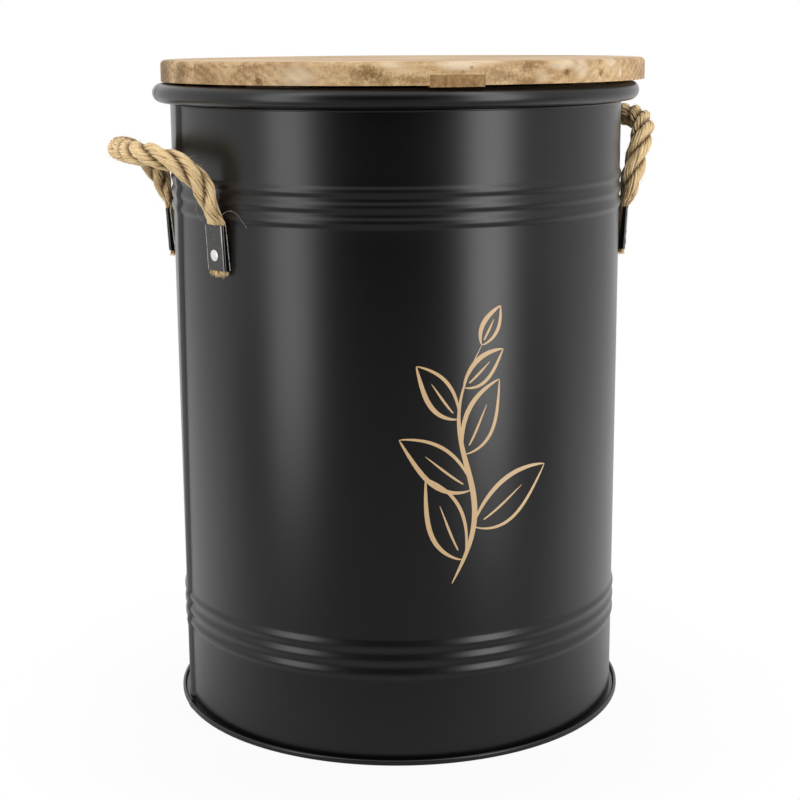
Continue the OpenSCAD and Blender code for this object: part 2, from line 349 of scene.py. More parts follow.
def paint(name, roughness, depth, scuffed_and_shaded=False):
    """Black powder paint with a fine grain and dust. On marked pieces, where the mark is above 0
    the steel shows, as scuffed paint and as painted highlight lines. Where it is below 0, the paint
    gets painted shade: near black and glossier.
    """
    material, nodes = start_material(name)
    place = nodes.node("TexCoord", out="Object")
    grain = place.noise(1400, 2)
    cloud = place.noise(9, 3)
    specks = nodes.node("TexVoronoi", None, {"Vector": place, "Scale": 130})
    dust = specks.rise(0.05, 0.02) * place.noise(20).rise(0.62, 0.7)
    black = (dust * 0.5).blend((depth, depth, depth, 1), colour(120, 118, 112))
    if scuffed_and_shaded:
        # The mark is scuffed paint and painted highlight above 0, and painted shade below 0.
        wear_and_painted_light = nodes.node("Attribute", {"attribute_name": "wear_and_painted_light"}, out="Fac")
        painted_shade = (wear_and_painted_light * -1).most(0)
        speckle = place.noise(900, 2).rise(0.58, 0.7) * 0.12
        bare_and_highlight = (wear_and_painted_light * place.noise(420, 2).rise(0.3, 0.5)).most(speckle - painted_shade)
        black = bare_and_highlight.blend(painted_shade.blend(black, (0.001, 0.001, 0.001, 1)), colour(214, 208, 198))
        roughness = roughness - 0.4 * painted_shade
    end_material(nodes, {
        "Base Color": black,
        "Roughness": roughness + 0.05 * cloud + 0.04 * grain,
        "Normal": grain.bump(0.25, 0.06 * MM),
        "IOR": 1.5,
    })
    return material


black_paint = paint("black_paint", roughness=0.265, depth=0.002)
points, faces = turned(section, columns, notch_lift)
shell = add_piece("bucket_wall", points, faces, black_paint)
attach(shell, "bucket")
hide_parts("body_shell")

outline = seam_outline()
up = levels[(levels > SEAM_FOOT) & (levels < SEAM_TOP)]
around = np.interp(up, SEAM_EDGE_HEIGHTS, SEAM_EDGES)[:, None] - outline[:, 0] / WALL
out = WALL + SEAM_RIB_SHARE * rib_rise(up)[:, None] + outline[:, 1]
heights = np.repeat(up[:, None], len(outline), 1)
points = np.stack([out * np.cos(around), out * np.sin(around), heights], axis=-1)
faces = tube_faces(len(up), len(outline))
fold = add_piece("side_seam_fold", points.reshape(-1, 3), faces, black_paint)
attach(fold, "bucket")


# Base of the bucket. It is a pressed disc of the same painted sheet, and its edge is folded round
# the wall's flange into a rolled hem. The hem bulges a little where the wall's side seam meets it.

HEM_MIDDLE = 145.9 * MM
HEM_HEIGHT = 3.5 * MM
HEM_ROLL = 1.1 * MM
HEM_ROLLED = 0.8 * pi
HEM_LAP = (144.4 * MM, 1.5 * MM)
KINK = radians(181)
KINK_SPREAD = radians(1.6)
KINK_RISE = 0.35 * MM
WELD_REACH = 1e-7


def kink_lift(section, direction):
    """The bulge of the hem at the wall's side seam."""
    rise = KINK_RISE * np.exp(-((direction - KINK) / KINK_SPREAD) ** 2)
    return np.where(section[:, 0] > HEM_MIDDLE, rise, 0)


def weld(piece, face_outwards=False):
    """Joins the points of a turned piece that meet on its axis."""
    mesh = bmesh.new()
    mesh.from_mesh(piece.data)
    bmesh.ops.remove_doubles(mesh, verts=mesh.verts, dist=WELD_REACH)
    if face_outwards:
        bmesh.ops.recalc_face_normals(mesh, faces=mesh.faces)
    mesh.to_mesh(piece.data)
    mesh.free()


low, high = (HEM_MIDDLE, HEM_ROLL), (HEM_MIDDLE, HEM_HEIGHT - HEM_ROLL)
inside = HEM_ROLL - SHEET
hem_section = np.concatenate([
    [(0, 0), (HEM_MIDDLE / 2, 0)],
    arc_points(low, HEM_ROLL, -pi / 2, 0, 8), arc_points(high, HEM_ROLL, 0, HEM_ROLLED, 12),
    [HEM_LAP],
    arc_points(high, inside, HEM_ROLLED, 0, 7), arc_points(low, inside, 0, -pi / 2, 5),
    [(HEM_MIDDLE / 2, SHEET), (0, SHEET)],
])
points, faces = turned(hem_section, np.radians(np.arange(0, 360, 1)), kink_lift)
pan = add_piece("bucket_base", points, faces, black_paint)
weld(pan)
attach(pan, "bucket")
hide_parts("bottom_pan")


# Printed motif on the front: a sprig with almond-shaped leaves in tapered strokes of cream and gold
# paint, screen-printed on the black. Painted light makes it paler towards the right softbox. Each
# stroke is a thin film on the wall.

PRINT_TURN = radians(-94.6)
PRINT_MIDDLE = 194 * MM
PRINT_FILM = 0.05 * MM
PRINT_LAYER = 0.004 * MM
STEM_BOTTOM = -82
STEM_LENGTH = 142
STEM_LEAN = 18
STEM_SWAY = 9
# Each leaf: its place on the stem, the side, its length in millimetres and its opening in degrees.
LEAVES = (
    (0.10, -1, 55, 56), (0.24, 1, 58, 55), (0.40, -1, 53, 51),
    (0.55, 1, 48, 49), (0.70, -1, 40, 45), (0.83, 1, 32, 40), (1.0, 0, 25, 0),
)
LEAF_BELLY = 0.2
LEAF_BOW = 0.13
LEAF_POINTS = 33
MIDRIB = slice(4, 22)
# Each stroke: its least width and what it gains at its fullest, in millimetres.
STEM_STROKE = (0.4, 3.0)
BROAD_STROKE = (0.35, 2.5)
SLIM_STROKE = (0.35, 1.7)
RIB_STROKE = (0.3, 1.1)


def stem_point(t):
    """A point of the stem, in millimetres round and up the wall, for t from 0 to 1."""
    aside = -STEM_LEAN / 2 + STEM_LEAN * t + STEM_SWAY * np.sin(2 * pi * t)
    return np.array([aside, STEM_BOTTOM + STEM_LENGTH * t])


def stroke_widths(stroke, fullness):
    """Widths of a tapered stroke in millimetres, from its least width and its gain."""
    least, gain = stroke
    return least + gain * fullness


def leaf_strokes(t, side, length, opening):
    """The two edges and the midrib of a leaf that leaves the stem at t."""
    along = stem_point(t) - stem_point(t - 0.01)
    x, y = along / np.linalg.norm(along)
    turn = radians(opening) * -side
    along = np.array([x * cos(turn) - y * sin(turn), x * sin(turn) + y * cos(turn)])
    across = np.array([-along[1], along[0]])
    w = np.linspace(0, 1, LEAF_POINTS)[:, None]
    bow = side * LEAF_BOW * length * np.sin(pi * w / 2) ** 2 * across
    spine = stem_point(t) + length * w * along + bow
    belly = LEAF_BELLY * length * np.sin(pi * w ** 0.85) ** 0.9 * across
    full = np.sin(pi * w[:, 0]) ** 0.6
    midrib = np.sin(pi * np.linspace(0.15, 1, MIDRIB.stop - MIDRIB.start))
    return [
        (spine + belly, stroke_widths(BROAD_STROKE, full)),
        (spine - belly, stroke_widths(SLIM_STROKE, full)),
        (spine[MIDRIB], stroke_widths(RIB_STROKE, midrib)),
    ]


def unit(ways, least=0.0):
    """The same ways with length 1."""
    return ways / (np.linalg.norm(ways, axis=1)[:, None] + least)


def film(course, widths, height):
    """A stroke as a thin closed film: course is in millimetres round and up the wall."""
    ahead = unit(np.gradient(course, axis=0))
    aside = np.stack([-ahead[:, 1], ahead[:, 0]], axis=1) * widths[:, None] / 2
    corners = []
    for edge, radius in ((aside, height), (-aside, height), (-aside, -height), (aside, -height)):
        flat = (course + edge) * MM
        turn = PRINT_TURN + flat[:, 0] / WALL
        out = WALL + radius
        up = PRINT_MIDDLE + flat[:, 1]
        corners.append(np.stack([out * np.cos(turn), out * np.sin(turn), up], axis=1))
    points = np.stack(corners, axis=1).reshape(-1, 3)
    count = len(course)
    faces = [
        [4 * i + k, 4 * i + 4 + k, 4 * i + 4 + (k + 1) % 4, 4 * i + (k + 1) % 4]
        for i in range(count - 1) for k in range(4)
    ]
    last = 4 * count - 1
    return points, faces + [[0, 1, 2, 3], [last, last - 1, last - 2, last - 3]]


places = np.linspace(0, 1, 61)
fullness = np.sin(pi * (1 - places) ** 1.6) ** 0.7
strokes = [(np.array([stem_point(t) for t in places]), stroke_widths(STEM_STROKE, fullness))]
for leaf in LEAVES:
    strokes += leaf_strokes(*leaf)
points, faces = [], []
for i, (course, widths) in enumerate(strokes):
    more, more_faces = film(course, widths, PRINT_FILM + i * PRINT_LAYER)
    faces += [[corner + len(points) for corner in face] for face in more_faces]
    points += more.tolist()

gold_print, nodes = start_material("gold_print")
place = nodes.node("TexCoord", out="Object")
shimmer = place.noise(700, 2)
# Painted light: the tone runs from gold on the left to cream on the right, where the right softbox
# lights the print, with a random change on top.
tone = place.part("X") * -4 + 0.45 + place.noise(25) * 0.3
end_material(nodes, {
    "Base Color": tone.blend(colour(222, 196, 158), colour(200, 164, 118)),
    "Roughness": 0.42 + 0.1 * shimmer,
    "Normal": shimmer.bump(0.3, 0.05 * MM),
})
motif = add_piece("leaf_print", points, faces, gold_print)
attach(motif, "bucket")


# Clamps. Each is a short channel of painted sheet, folded with small outside bends and a little
# deeper at its mouth, that holds one end of a rope flat against the wall.

CLAMP_TURN = radians(22.6)
CLAMP_TURNS = {
    "left_front": pi + CLAMP_TURN, "left_rear": pi - CLAMP_TURN,
    "right_front": -CLAMP_TURN, "right_rear": CLAMP_TURN,
}
CLAMP_FOOT = 293.575 * MM
CLAMP_LENGTH = 27 * MM
CLAMP_HALF = 8.25 * MM
CLAMP_DEPTHS = (4.8 * MM, 6.2 * MM)
CLAMP_GAPS = (0.1 * MM, 2.6 * MM)
CLAMP_SHEET = 1 * MM
CLAMP_BEND = 1.9 * MM
CLAMP_TILT = asin((CLAMP_DEPTHS[1] - CLAMP_DEPTHS[0]) / CLAMP_LENGTH)
CLAMP_WEAR = 0.5 * MM
CLAMP_EASE = 0.22 * MM
CLAMP_ROWS = 13


def at_clamp(turn):
    """The clamp's frame: x leads out of the wall, y along it, and z up from the clamp's foot."""
    return Matrix.Rotation(turn, 4, "Z") @ Matrix.Translation((WALL, 0, CLAMP_FOOT))


def channel_section(depth, gap):
    """The channel's folded outline, from its left edge round its face and back inside."""
    bend = arc_points((depth - CLAMP_BEND, CLAMP_HALF - CLAMP_BEND), CLAMP_BEND, pi / 2, 0, 10)
    inside = CLAMP_BEND - CLAMP_SHEET
    fold = arc_points((depth - CLAMP_BEND, CLAMP_HALF - CLAMP_BEND), inside, 0, pi / 2, 5)
    edge = [(gap, CLAMP_HALF), (gap + CLAMP_WEAR, CLAMP_HALF), (gap + 1.6 * CLAMP_WEAR, CLAMP_HALF)]
    outer = np.concatenate([edge, bend])
    inner = np.concatenate([fold, [(gap, CLAMP_HALF - CLAMP_SHEET)]])
    flip = np.array([1, -1])
    return np.concatenate([outer, outer[::-1] * flip, inner[::-1] * flip, inner])


def channel_wear_and_shade(share):
    """1 along the outline's edges, which are scuffed paint and painted highlight lines, and below 0
    on its glossy sides, which get painted shade.
    """
    bare_and_highlight = smooth_step(share, 0.5, 0.75)
    # Along each side of the outline, the -1 runs are painted shade. The runs up to 1 are partly
    # scuffed paint and partly painted highlight lines.
    right = [1, 1, -1, -1, -1, -1, -1, -0.8, 0.8 + 0.2 * bare_and_highlight, 0.2 + 0.8 * bare_and_highlight, 0, 0, 0]
    left = [0, 0.3, 0.9, 1, 1, 0.5, -0.4, -1, -1, -1, -1, -1, -1]
    inside = np.zeros(12)
    return np.concatenate([right, left, inside])


clamp_paint = paint("clamp_paint", roughness=0.5, depth=0.045, scuffed_and_shaded=True)
for name, turn in CLAMP_TURNS.items():
    rows, wear_and_painted_light = [], []
    for share in np.linspace(0, 1, CLAMP_ROWS):
        depth = CLAMP_DEPTHS[0] + (CLAMP_DEPTHS[1] - CLAMP_DEPTHS[0]) * share
        outline = channel_section(depth, CLAMP_GAPS[0] + (CLAMP_GAPS[1] - CLAMP_GAPS[0]) * share)
        rows.append([(x, y, share * CLAMP_LENGTH) for x, y in outline])
        wear_and_painted_light.append(channel_wear_and_shade(share))
    size = len(rows[0])
    faces = tube_faces(len(rows), size)[:-2]
    for row, way in ((0, -1), (len(rows) - 1, 1)):
        for k in range(size // 2 - 1):
            faces.append([row * size + i for i in (k, k + 1, size - 2 - k, size - 1 - k)[::way]])
    clamp = add_piece(name + "_channel", [p for row in rows for p in row], faces, clamp_paint, 50)
    # Each clamp's mark of scuffed paint, painted highlight and painted shade, point by point.
    wear = clamp.data.attributes.new("wear_and_painted_light", "FLOAT", "POINT")
    wear.data.foreach_set("value", np.concatenate(wear_and_painted_light))
    clamp.data.transform(at_clamp(turn))
    eased = clamp.modifiers.new("eased_edges", "BEVEL")
    eased.width = CLAMP_EASE
    eased.segments = 2
    eased.limit_method = "ANGLE"
    eased.angle_limit = radians(60)
    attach(clamp, "bucket")
    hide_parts(name + "_clamp")


# Rivets and washers. A bright steel rivet with a low domed head goes through the clamp, the rope
# and the wall, and is closed over a washer inside the bucket.

RIVET_RISE = 9 * MM
RIVET_FACE = CLAMP_DEPTHS[0] + (CLAMP_DEPTHS[1] - CLAMP_DEPTHS[0]) * RIVET_RISE / CLAMP_LENGTH
RIVET_HEAD = 3.4 * MM
RIVET_DOME = 0.8 * MM
RIVET_LIP = 0.3 * MM
RIVET_UNDERSIDE = 0.92
RIVET_LIP_EDGE = 0.6
RIVET_CROWN = 0.985
RIVET_SHANK = 2 * MM
RIVET_TAIL = 3.25 * MM
RIVET_TAIL_DOME = 1.6 * MM
RIVET_INSIDE = 7.17 * MM


def dome_points(width, height, count):
    """The curve of a low dome from its edge to its top, as (radius, height)."""
    ball = (width ** 2 + height ** 2) / (2 * height)
    rim = asin(width / ball)
    turns = [rim * k / count for k in range(count, -1, -1)]
    return [(ball * sin(turn), ball * cos(turn) - ball + height) for turn in turns]


brushed_steel, nodes = start_material("brushed_steel")
place = nodes.node("TexCoord", out="Object")
scratches = place.scaled((900, 900, 2500)).noise(1, 3)
stain = place.noise(160, 2)
end_material(nodes, {
    "Base Color": stain.blend(colour(250, 248, 245), colour(226, 223, 218)),
    "Metallic": 1.0,
    "Roughness": 0.34 + 0.1 * stain + 0.08 * scratches,
    "Normal": scratches.bump(0.2, 0.04 * MM),
})

head = dome_points(RIVET_HEAD, RIVET_DOME, 12)
tail = [(r, -RIVET_INSIDE - h) for r, h in dome_points(RIVET_TAIL, RIVET_TAIL_DOME, 8)]
flatter = 1 - RIVET_LIP / RIVET_DOME
rivet_section = [
    (RIVET_SHANK, -RIVET_INSIDE), (RIVET_SHANK, 0),
    (RIVET_HEAD * RIVET_UNDERSIDE, 0), (RIVET_HEAD, RIVET_LIP * RIVET_LIP_EDGE),
    *((r * RIVET_CROWN, RIVET_LIP + h * flatter) for r, h in head), *tail[::-1],
]
for name, turn in CLAMP_TURNS.items():
    points, faces = turned(rivet_section, np.linspace(0, 2 * pi, 48, endpoint=False))
    rivet = add_piece(name + "_rivet_body", points, faces, brushed_steel, 40)
    seat = at_clamp(turn) @ Matrix.Translation((RIVET_FACE, 0, RIVET_RISE))
    rivet.data.transform(seat @ Matrix.Rotation(pi / 2 + CLAMP_TILT, 4, "Y"))
    weld(rivet, face_outwards=True)
    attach(rivet, "bucket")
    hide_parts(name + "_rivet")
    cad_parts[name + "_washer"].material_slots[0].material = brushed_steel


# Rope handles. Each is a loop of three-strand jute rope, laid to the right, whose ends are pressed
# flat in the clamps and frayed below them. The strands are spun from yarns that shed loose fibres.

HINGE_REACH = 149.6 * MM
HINGE_RISE = 9.1 * MM
HINGE_X = HINGE_REACH * cos(CLAMP_TURN)
HINGE_Z = CLAMP_FOOT + CLAMP_LENGTH + HINGE_RISE
HALF_SPAN = HINGE_REACH * sin(CLAMP_TURN)
LOOP_HEIGHT = 53 * MM
LOOP_POWER = 2 / 3
LOOP_POINTS = 60
LEANS = {"left": (radians(6), radians(92)), "right": (radians(4), radians(48.5))}
TAIL = 2.5 * MM
STEP = 1.1 * MM
COURSE_ROUNDING = 14
ROPE_RADIUS = 7 * MM
PINCHED = 0.23
LESS_PINCHED_AT_MOUTH = 0.1
LESS_PINCHED_AT_TAIL = 0.08
LESS_PINCHED_ABOVE = 0.09
WIDER_AT_TAIL = 0.3
WIDER_AT_MOUTH = 0.18
SLIMMER_ABOVE = 0.06
SQUARED = 0.55
SQUARED_ASIDE = 0.3
STRANDS = 3
STRAND_OFFSET = 2.95 * MM
STRAND_LAY = 52 * MM
STRAND_START = 0.4
CORE_RADIUS = 3.0 * MM
YARNS = 14
YARN_OFFSET = 3.12 * MM
YARN_LAY = 70 * MM
YARN_RADIUS = 0.9 * MM
FIBRES = 120
CORE_MARK = 40
FIBRE_MARK = 60
CORE_CUT = 2
YARN_SIDES = 8
FIBRE_SIDES = 4
GRAIN_TURN = 6
GRAIN_SHIFT = 7.3
HAIR_SHIFT = 3.1
# Each drift: how far it wanders, and over what length of rope.
STRAND_DRIFT = (0.14 * MM, 14 * MM)
TWIST_DRIFT = (0.1, 9 * MM)
YARN_DRIFT = (0.16 * MM, 6 * MM)
YARN_SWELL = (0.1 * MM, 5 * MM)
FIBRE_DRIFT = (0.08 * MM, 4 * MM)
CUT_ASIDE = 1.2
CUT_AT_RANDOM = 1.4
FIBRE_ENDS = (2, 14)
FIBRE_STEPS = (7, 12)
FIBRE_DEPTH = (0.75, 1.0)
FIBRE_UNLAID = (0.2, 1.5)
FIBRE_RADIUS = (0.16 * MM, 0.34 * MM)
FIBRES_BESIDE = 1.1
HAIRS = 800
HAIR_RADIUS = 0.06 * MM
HAIR_LENGTH = (0.8 * MM, 2.6 * MM)
LONG_HAIR_LENGTH = (3 * MM, 8 * MM)
LONG_HAIR_EVERY = 9
# Loose fibres sit at this depth, outside the painted groove shade. Bleached ones sit at the depth
# that turns them pale.
HAIR_DEPTH = 1.1
HAIR_BLEACHED = 2.1
HAIR_ROOT = 0.84
HAIR_LIFT = 0.9
HAIR_CURL = 0.28
HAIR_LEAN = 0.35
HAIR_STEPS = 5
HAIR_TIP = 0.5
HAIR_CORNERS = (0, 2.1, 4.2)
LEAST_LENGTH = 1e-12
TAIL_HAIRS = 170
TAIL_HAIR_RADIUS = 0.17 * MM
TAIL_HAIR_SHARES = (0.02, 1)
TAIL_HAIR_REACH = 0.97
TAIL_HAIR_SPREAD = 0.4
TAIL_HAIR_CURL = 0.08 * MM
TAIL_HAIR_POINTS = 4
TAIL_HAIR_SUNK = 0.4
TAIL_FALL = 1.4 * MM
# Each stray: its points in millimetres out of the wall, along the wall, and above the clamp.
STRAYS = {
    "left": (
        ((5.5, 5, 4), (6, 12, 8.5), (6.5, 17, 9.6), (6.5, 22, 9), (6.5, 27, 5.5), (6.5, 32.5, 0.5)),
        ((9, -11, 11), (8, -13.5, 8), (7, -13, 5.5), (6.5, -12, 3), (6, -8.8, 1)),
    ),
    "right": (),
}
STRAY_RADIUS = 0.09 * MM
STRAY_POINTS = 41
STRAY_ROUNDING = 24
STRAY_MARK = 5


def loop_point(turn, leans):
    """A point of the loop, from the hinge line, and the way that its face looks."""
    low, high = leans
    height = LOOP_HEIGHT * max(sin(turn), 0) ** LOOP_POWER
    side = HALF_SPAN * np.sign(cos(turn)) * abs(cos(turn)) ** LOOP_POWER
    now = low + (high - low) * height / LOOP_HEIGHT
    bend = LOOP_HEIGHT / (high - low)
    point = (HINGE_X + bend * (cos(low) - cos(now)), side, HINGE_Z + bend * (sin(now) - sin(low)))
    return point, (cos(now), 0, -sin(now))


def leg_points(side):
    """The rope's course from its tail up through the clamp, and the way out of the wall."""
    out = np.array([cos(CLAMP_TURN), side * sin(CLAMP_TURN), 0])
    steps = (
        (2.3, -TAIL), (1.9, 0), (2.25, CLAMP_LENGTH / 2),
        (2.65, CLAMP_LENGTH), (3.4, CLAMP_LENGTH + 2 * MM),
    )
    return [(out * (WALL + depth * MM) + (0, 0, CLAMP_FOOT + rise), out) for depth, rise in steps]


def way_along(spots):
    """How far along its course each point stands."""
    return np.concatenate([[0], np.cumsum(np.linalg.norm(np.diff(spots, axis=0), axis=1))])


def between(points, places, wanted):
    """What points that stand at these places give at the wanted places."""
    return np.stack([np.interp(wanted, places, points[:, k]) for k in range(3)], axis=1)


def rounded(points, rounds):
    """A course of points with its corners rounded off and its ends kept."""
    for _ in range(rounds):
        points[1:-1] = (points[:-2] + 2 * points[1:-1] + points[2:]) / 4
    return points


def rope_course(leans):
    """Even points along the rope, with the ways out, aside and ahead, and the distance along."""
    turns = [pi * (1 - cos(pi * i / LOOP_POINTS)) / 2 for i in range(LOOP_POINTS + 1)]
    legs = leg_points(1), leg_points(-1)
    route = legs[0] + [loop_point(t, leans) for t in turns] + legs[1][::-1]
    spots = np.array([p for p, _ in route])
    outs = np.array([o for _, o in route])
    for _ in range(2):
        along = way_along(spots)
        even = np.linspace(0, along[-1], int(along[-1] / STEP) + 1)
        spots = rounded(between(spots, along, even), COURSE_ROUNDING)
        outs = rounded(between(outs, along, even), COURSE_ROUNDING)
    aheads = unit(np.gradient(spots, axis=0))
    outs = unit(outs - (outs * aheads).sum(axis=1)[:, None] * aheads)
    return spots, outs, np.cross(aheads, outs), aheads, way_along(spots)


def pressed(along):
    """How thick, how wide and how round the rope is along its course: flat in the clamps."""
    from_end = np.minimum(along, along[-1] - along)
    mouth = TAIL + CLAMP_LENGTH

    def gain(amount, low, high):
        return amount * smooth_step(from_end, low, high)

    thick = PINCHED + gain(LESS_PINCHED_AT_MOUTH, TAIL, mouth)
    thick = thick + gain(LESS_PINCHED_AT_TAIL, TAIL, TAIL - 2 * MM)
    thick = thick + gain(LESS_PINCHED_ABOVE, mouth - MM, mouth + 2 * MM)
    thick = thick + gain(1 - thick, mouth + MM, mouth + 24 * MM)
    wide = 1.0 + gain(WIDER_AT_TAIL, TAIL + 0.3 * MM, TAIL - 0.8 * MM)
    wide = wide + gain(WIDER_AT_MOUTH, mouth - MM, mouth + 1.5 * MM)
    wide = wide - gain(SLIMMER_ABOVE, mouth + 4 * MM, mouth + 20 * MM)
    return thick, wide, gain(1, mouth, mouth + 20 * MM)


def rope_mesh(leans, strays, seed):
    """Points, faces and fibre courses of a whole rope: strands, yarns, frayed tails and fuzz."""
    chance = np.random.default_rng(seed)
    spots, outs, asides, aheads, along = rope_course(leans)
    thick, wide, laid = pressed(along)
    points, faces, fibres = [], [], []

    def add_tube(round_at, radii, sides, mark, start, stop):
        """round_at is the tube's middle as a complex number: out of the face, and beside it."""
        part = slice(start, stop)
        rim = np.exp(2j * pi * np.arange(sides) / sides)
        spread = round_at[part, None] + radii[part, None] * rim
        across, beyond = spread.real / ROPE_RADIUS, spread.imag / ROPE_RADIUS
        boxed = SQUARED * (1 - laid[part, None])
        out = spread.real * (1 + boxed * beyond ** 2)
        aside = spread.imag * (1 + SQUARED_ASIDE * boxed * across ** 2)
        faces.extend(tube_faces(len(spread), sides, sum(len(p) for p in points)))
        points.append((
            spots[part, None]
            + (out * thick[part, None])[..., None] * outs[part, None]
            + (aside * wide[part, None])[..., None] * asides[part, None]
        ).reshape(-1, 3))
        around = np.broadcast_to(np.arange(sides) / sides, spread.shape)
        fibres.append(np.stack([
            np.broadcast_to(along[part, None] / MM, spread.shape).ravel(),
            (around * GRAIN_TURN + mark * GRAIN_SHIFT).ravel(),
            # How deep the point lies in the rope, which the jute material uses for painted shade in
            # the grooves.
            (np.hypot(out, aside) / ROPE_RADIUS).ravel(),
        ], axis=1))

    def wander(reach, span):
        """A slow random drift along the rope, about reach in size."""
        knots = np.arange(0, along[-1] + 2 * span, span)
        return reach * np.interp(along, knots, chance.normal(size=len(knots)))

    for strand in range(STRANDS):
        lay = 2 * pi * (along / STRAND_LAY + strand / STRANDS) + STRAND_START
        spread_out = STRAND_OFFSET * (0.5 + 0.5 * laid)
        middle = (spread_out + wander(*STRAND_DRIFT)) * np.exp(1j * lay)
        core = np.full(len(along), CORE_RADIUS)
        add_tube(middle, core, YARN_SIDES, CORE_MARK + strand, CORE_CUT, len(along) - CORE_CUT)
        around = YARN_OFFSET + STRAND_OFFSET - spread_out
        for yarn in range(YARNS):
            twist = -2 * pi * (along / YARN_LAY + yarn / YARNS) + wander(*TWIST_DRIFT)
            round_at = middle + (around + wander(*YARN_DRIFT)) * np.exp(1j * twist)
            radii = YARN_RADIUS + wander(*YARN_SWELL)
            ends = np.abs(round_at.imag[[0, -1]]) / ROPE_RADIUS
            shorter = CUT_ASIDE * ends ** 1.5 + chance.uniform(0, CUT_AT_RANDOM, size=2)
            cut = np.round(shorter).astype(int)
            mark = strand * YARNS + yarn
            add_tube(round_at, radii, YARN_SIDES, mark, cut[0], len(along) - cut[1])
        for fibre in range(FIBRES):
            start = chance.integers(FIBRE_ENDS[0], len(along) - FIBRE_ENDS[1])
            stop = start + chance.integers(*FIBRE_STEPS)
            half_way = (start + stop) // 2
            twist = lay[half_way] + chance.uniform(-FIBRES_BESIDE, FIBRES_BESIDE)
            unlaid = -2 * pi * (along - along[half_way]) / YARN_LAY
            twist = twist + unlaid * chance.uniform(*FIBRE_UNLAID)
            orbit = around + YARN_RADIUS * chance.uniform(*FIBRE_DEPTH) + wander(*FIBRE_DRIFT)
            share = np.clip((np.arange(len(along)) - start) / (stop - start - 1), 0, 1)
            radii = chance.uniform(*FIBRE_RADIUS) * (0.25 + 0.75 * np.sin(pi * share))
            round_at = middle + orbit * np.exp(1j * twist)
            add_tube(round_at, radii, FIBRE_SIDES, FIBRE_MARK + fibre, start, stop)

    def add_hair(root, course, width, mark, depth=HAIR_DEPTH):
        """A loose fibre as a fine three-sided tube along its course."""
        count = len(course)
        ahead = unit(np.gradient(course, axis=0), LEAST_LENGTH)
        aside = unit(np.cross(ahead, chance.normal(size=3)), LEAST_LENGTH)
        other = np.cross(ahead, aside)
        fall = np.linspace(1, HAIR_TIP, count)[:, None] * width
        ring = [course + fall * (cos(a) * aside + sin(a) * other) for a in HAIR_CORNERS]
        faces.extend(tube_faces(count, len(ring), sum(len(p) for p in points)))
        points.append(np.stack(ring, axis=1).reshape(-1, 3))
        values = (along[root] / MM, mark * HAIR_SHIFT, depth)
        fibres.append(np.tile(values, (len(ring) * count, 1)))

    def hair_course(root, length):
        """A course that leaves the rope's surface at a random side and bends as it goes."""
        angle = chance.uniform(0, 2 * pi)
        normal = cos(angle) * outs[root] * thick[root] + sin(angle) * asides[root] * wide[root]
        start = spots[root] + normal * ROPE_RADIUS * HAIR_ROOT
        way = normal / np.linalg.norm(normal) * HAIR_LIFT
        way = way + aheads[root] * chance.normal() + chance.normal(size=3) * HAIR_LEAN
        way /= np.linalg.norm(way)
        course = [start]
        for _ in range(HAIR_STEPS):
            way = way + chance.normal(size=3) * HAIR_CURL
            way /= np.linalg.norm(way)
            course.append(course[-1] + way * length / HAIR_STEPS)
        return np.array(course)

    mouth = int((TAIL + CLAMP_LENGTH) / STEP) + 1
    for mark in range(HAIRS):
        root = chance.integers(mouth, len(along) - mouth)
        lengths = HAIR_LENGTH if mark % LONG_HAIR_EVERY else LONG_HAIR_LENGTH
        length = chance.uniform(*lengths)
        add_hair(root, hair_course(root, length), HAIR_RADIUS, mark)
    out = np.array([cos(CLAMP_TURN), sin(CLAMP_TURN), 0])
    beside = np.array([-sin(CLAMP_TURN), cos(CLAMP_TURN), 0])
    top = np.array([0, 0, CLAMP_FOOT + CLAMP_LENGTH])
    for stray in strays:
        x, y, z = np.array(stray).T[:, :, None] * MM
        knots = out * (WALL + x) + beside * y + top + np.array([0, 0, 1]) * z
        wanted = np.linspace(0, len(knots) - 1, STRAY_POINTS)
        course = rounded(between(knots, range(len(knots)), wanted), STRAY_ROUNDING)
        add_hair(mouth, course, STRAY_RADIUS, STRAY_MARK, HAIR_BLEACHED)
    for tail, away in ((0, -aheads[0]), (len(along) - 1, aheads[-1])):
        for mark in range(TAIL_HAIRS):
            reach = np.sqrt(chance.uniform(*TAIL_HAIR_SHARES)) * TAIL_HAIR_REACH * ROPE_RADIUS
            offset = reach * np.exp(1j * chance.uniform(0, 2 * pi))
            short = TAIL_FALL * (abs(offset.imag) / ROPE_RADIUS) ** 1.5
            start = spots[tail] + offset.real * thick[tail] * outs[tail]
            start = start + offset.imag * wide[tail] * asides[tail]
            way = away + TAIL_HAIR_SPREAD * chance.normal(size=3)
            length = chance.uniform(*HAIR_LENGTH)
            shares = np.linspace(0, 1, TAIL_HAIR_POINTS)[:, None] - TAIL_HAIR_SUNK
            course = start + shares * length * way - short * away
            course += chance.normal(size=course.shape) * TAIL_HAIR_CURL
            add_hair(tail, course, TAIL_HAIR_RADIUS, mark)
    return np.concatenate(points), faces, np.concatenate(fibres)


jute, nodes = start_material("jute_rope")
course = nodes.node("Attribute", {"attribute_name": "fibre"}, out="Vector")
depth = course.part("Z")
streaks = course.scaled((0.22, 1.6, 0)).noise(1, 3, 0.65)
fine = course.scaled((1.1, 6.5, 0)).noise(1, 2, 0.6)
patch = course.scaled((0.05, 0.14, 0)).noise(1, 1)
tone = streaks * 0.55 + fine * 0.8 + patch * 0.3 - 0.225
lit = tone.ramp(
    (0.32, colour(164, 125, 72)), (0.45, colour(212, 173, 115)),
    (0.57, colour(235, 202, 147)), (0.74, colour(250, 230, 188)),
)
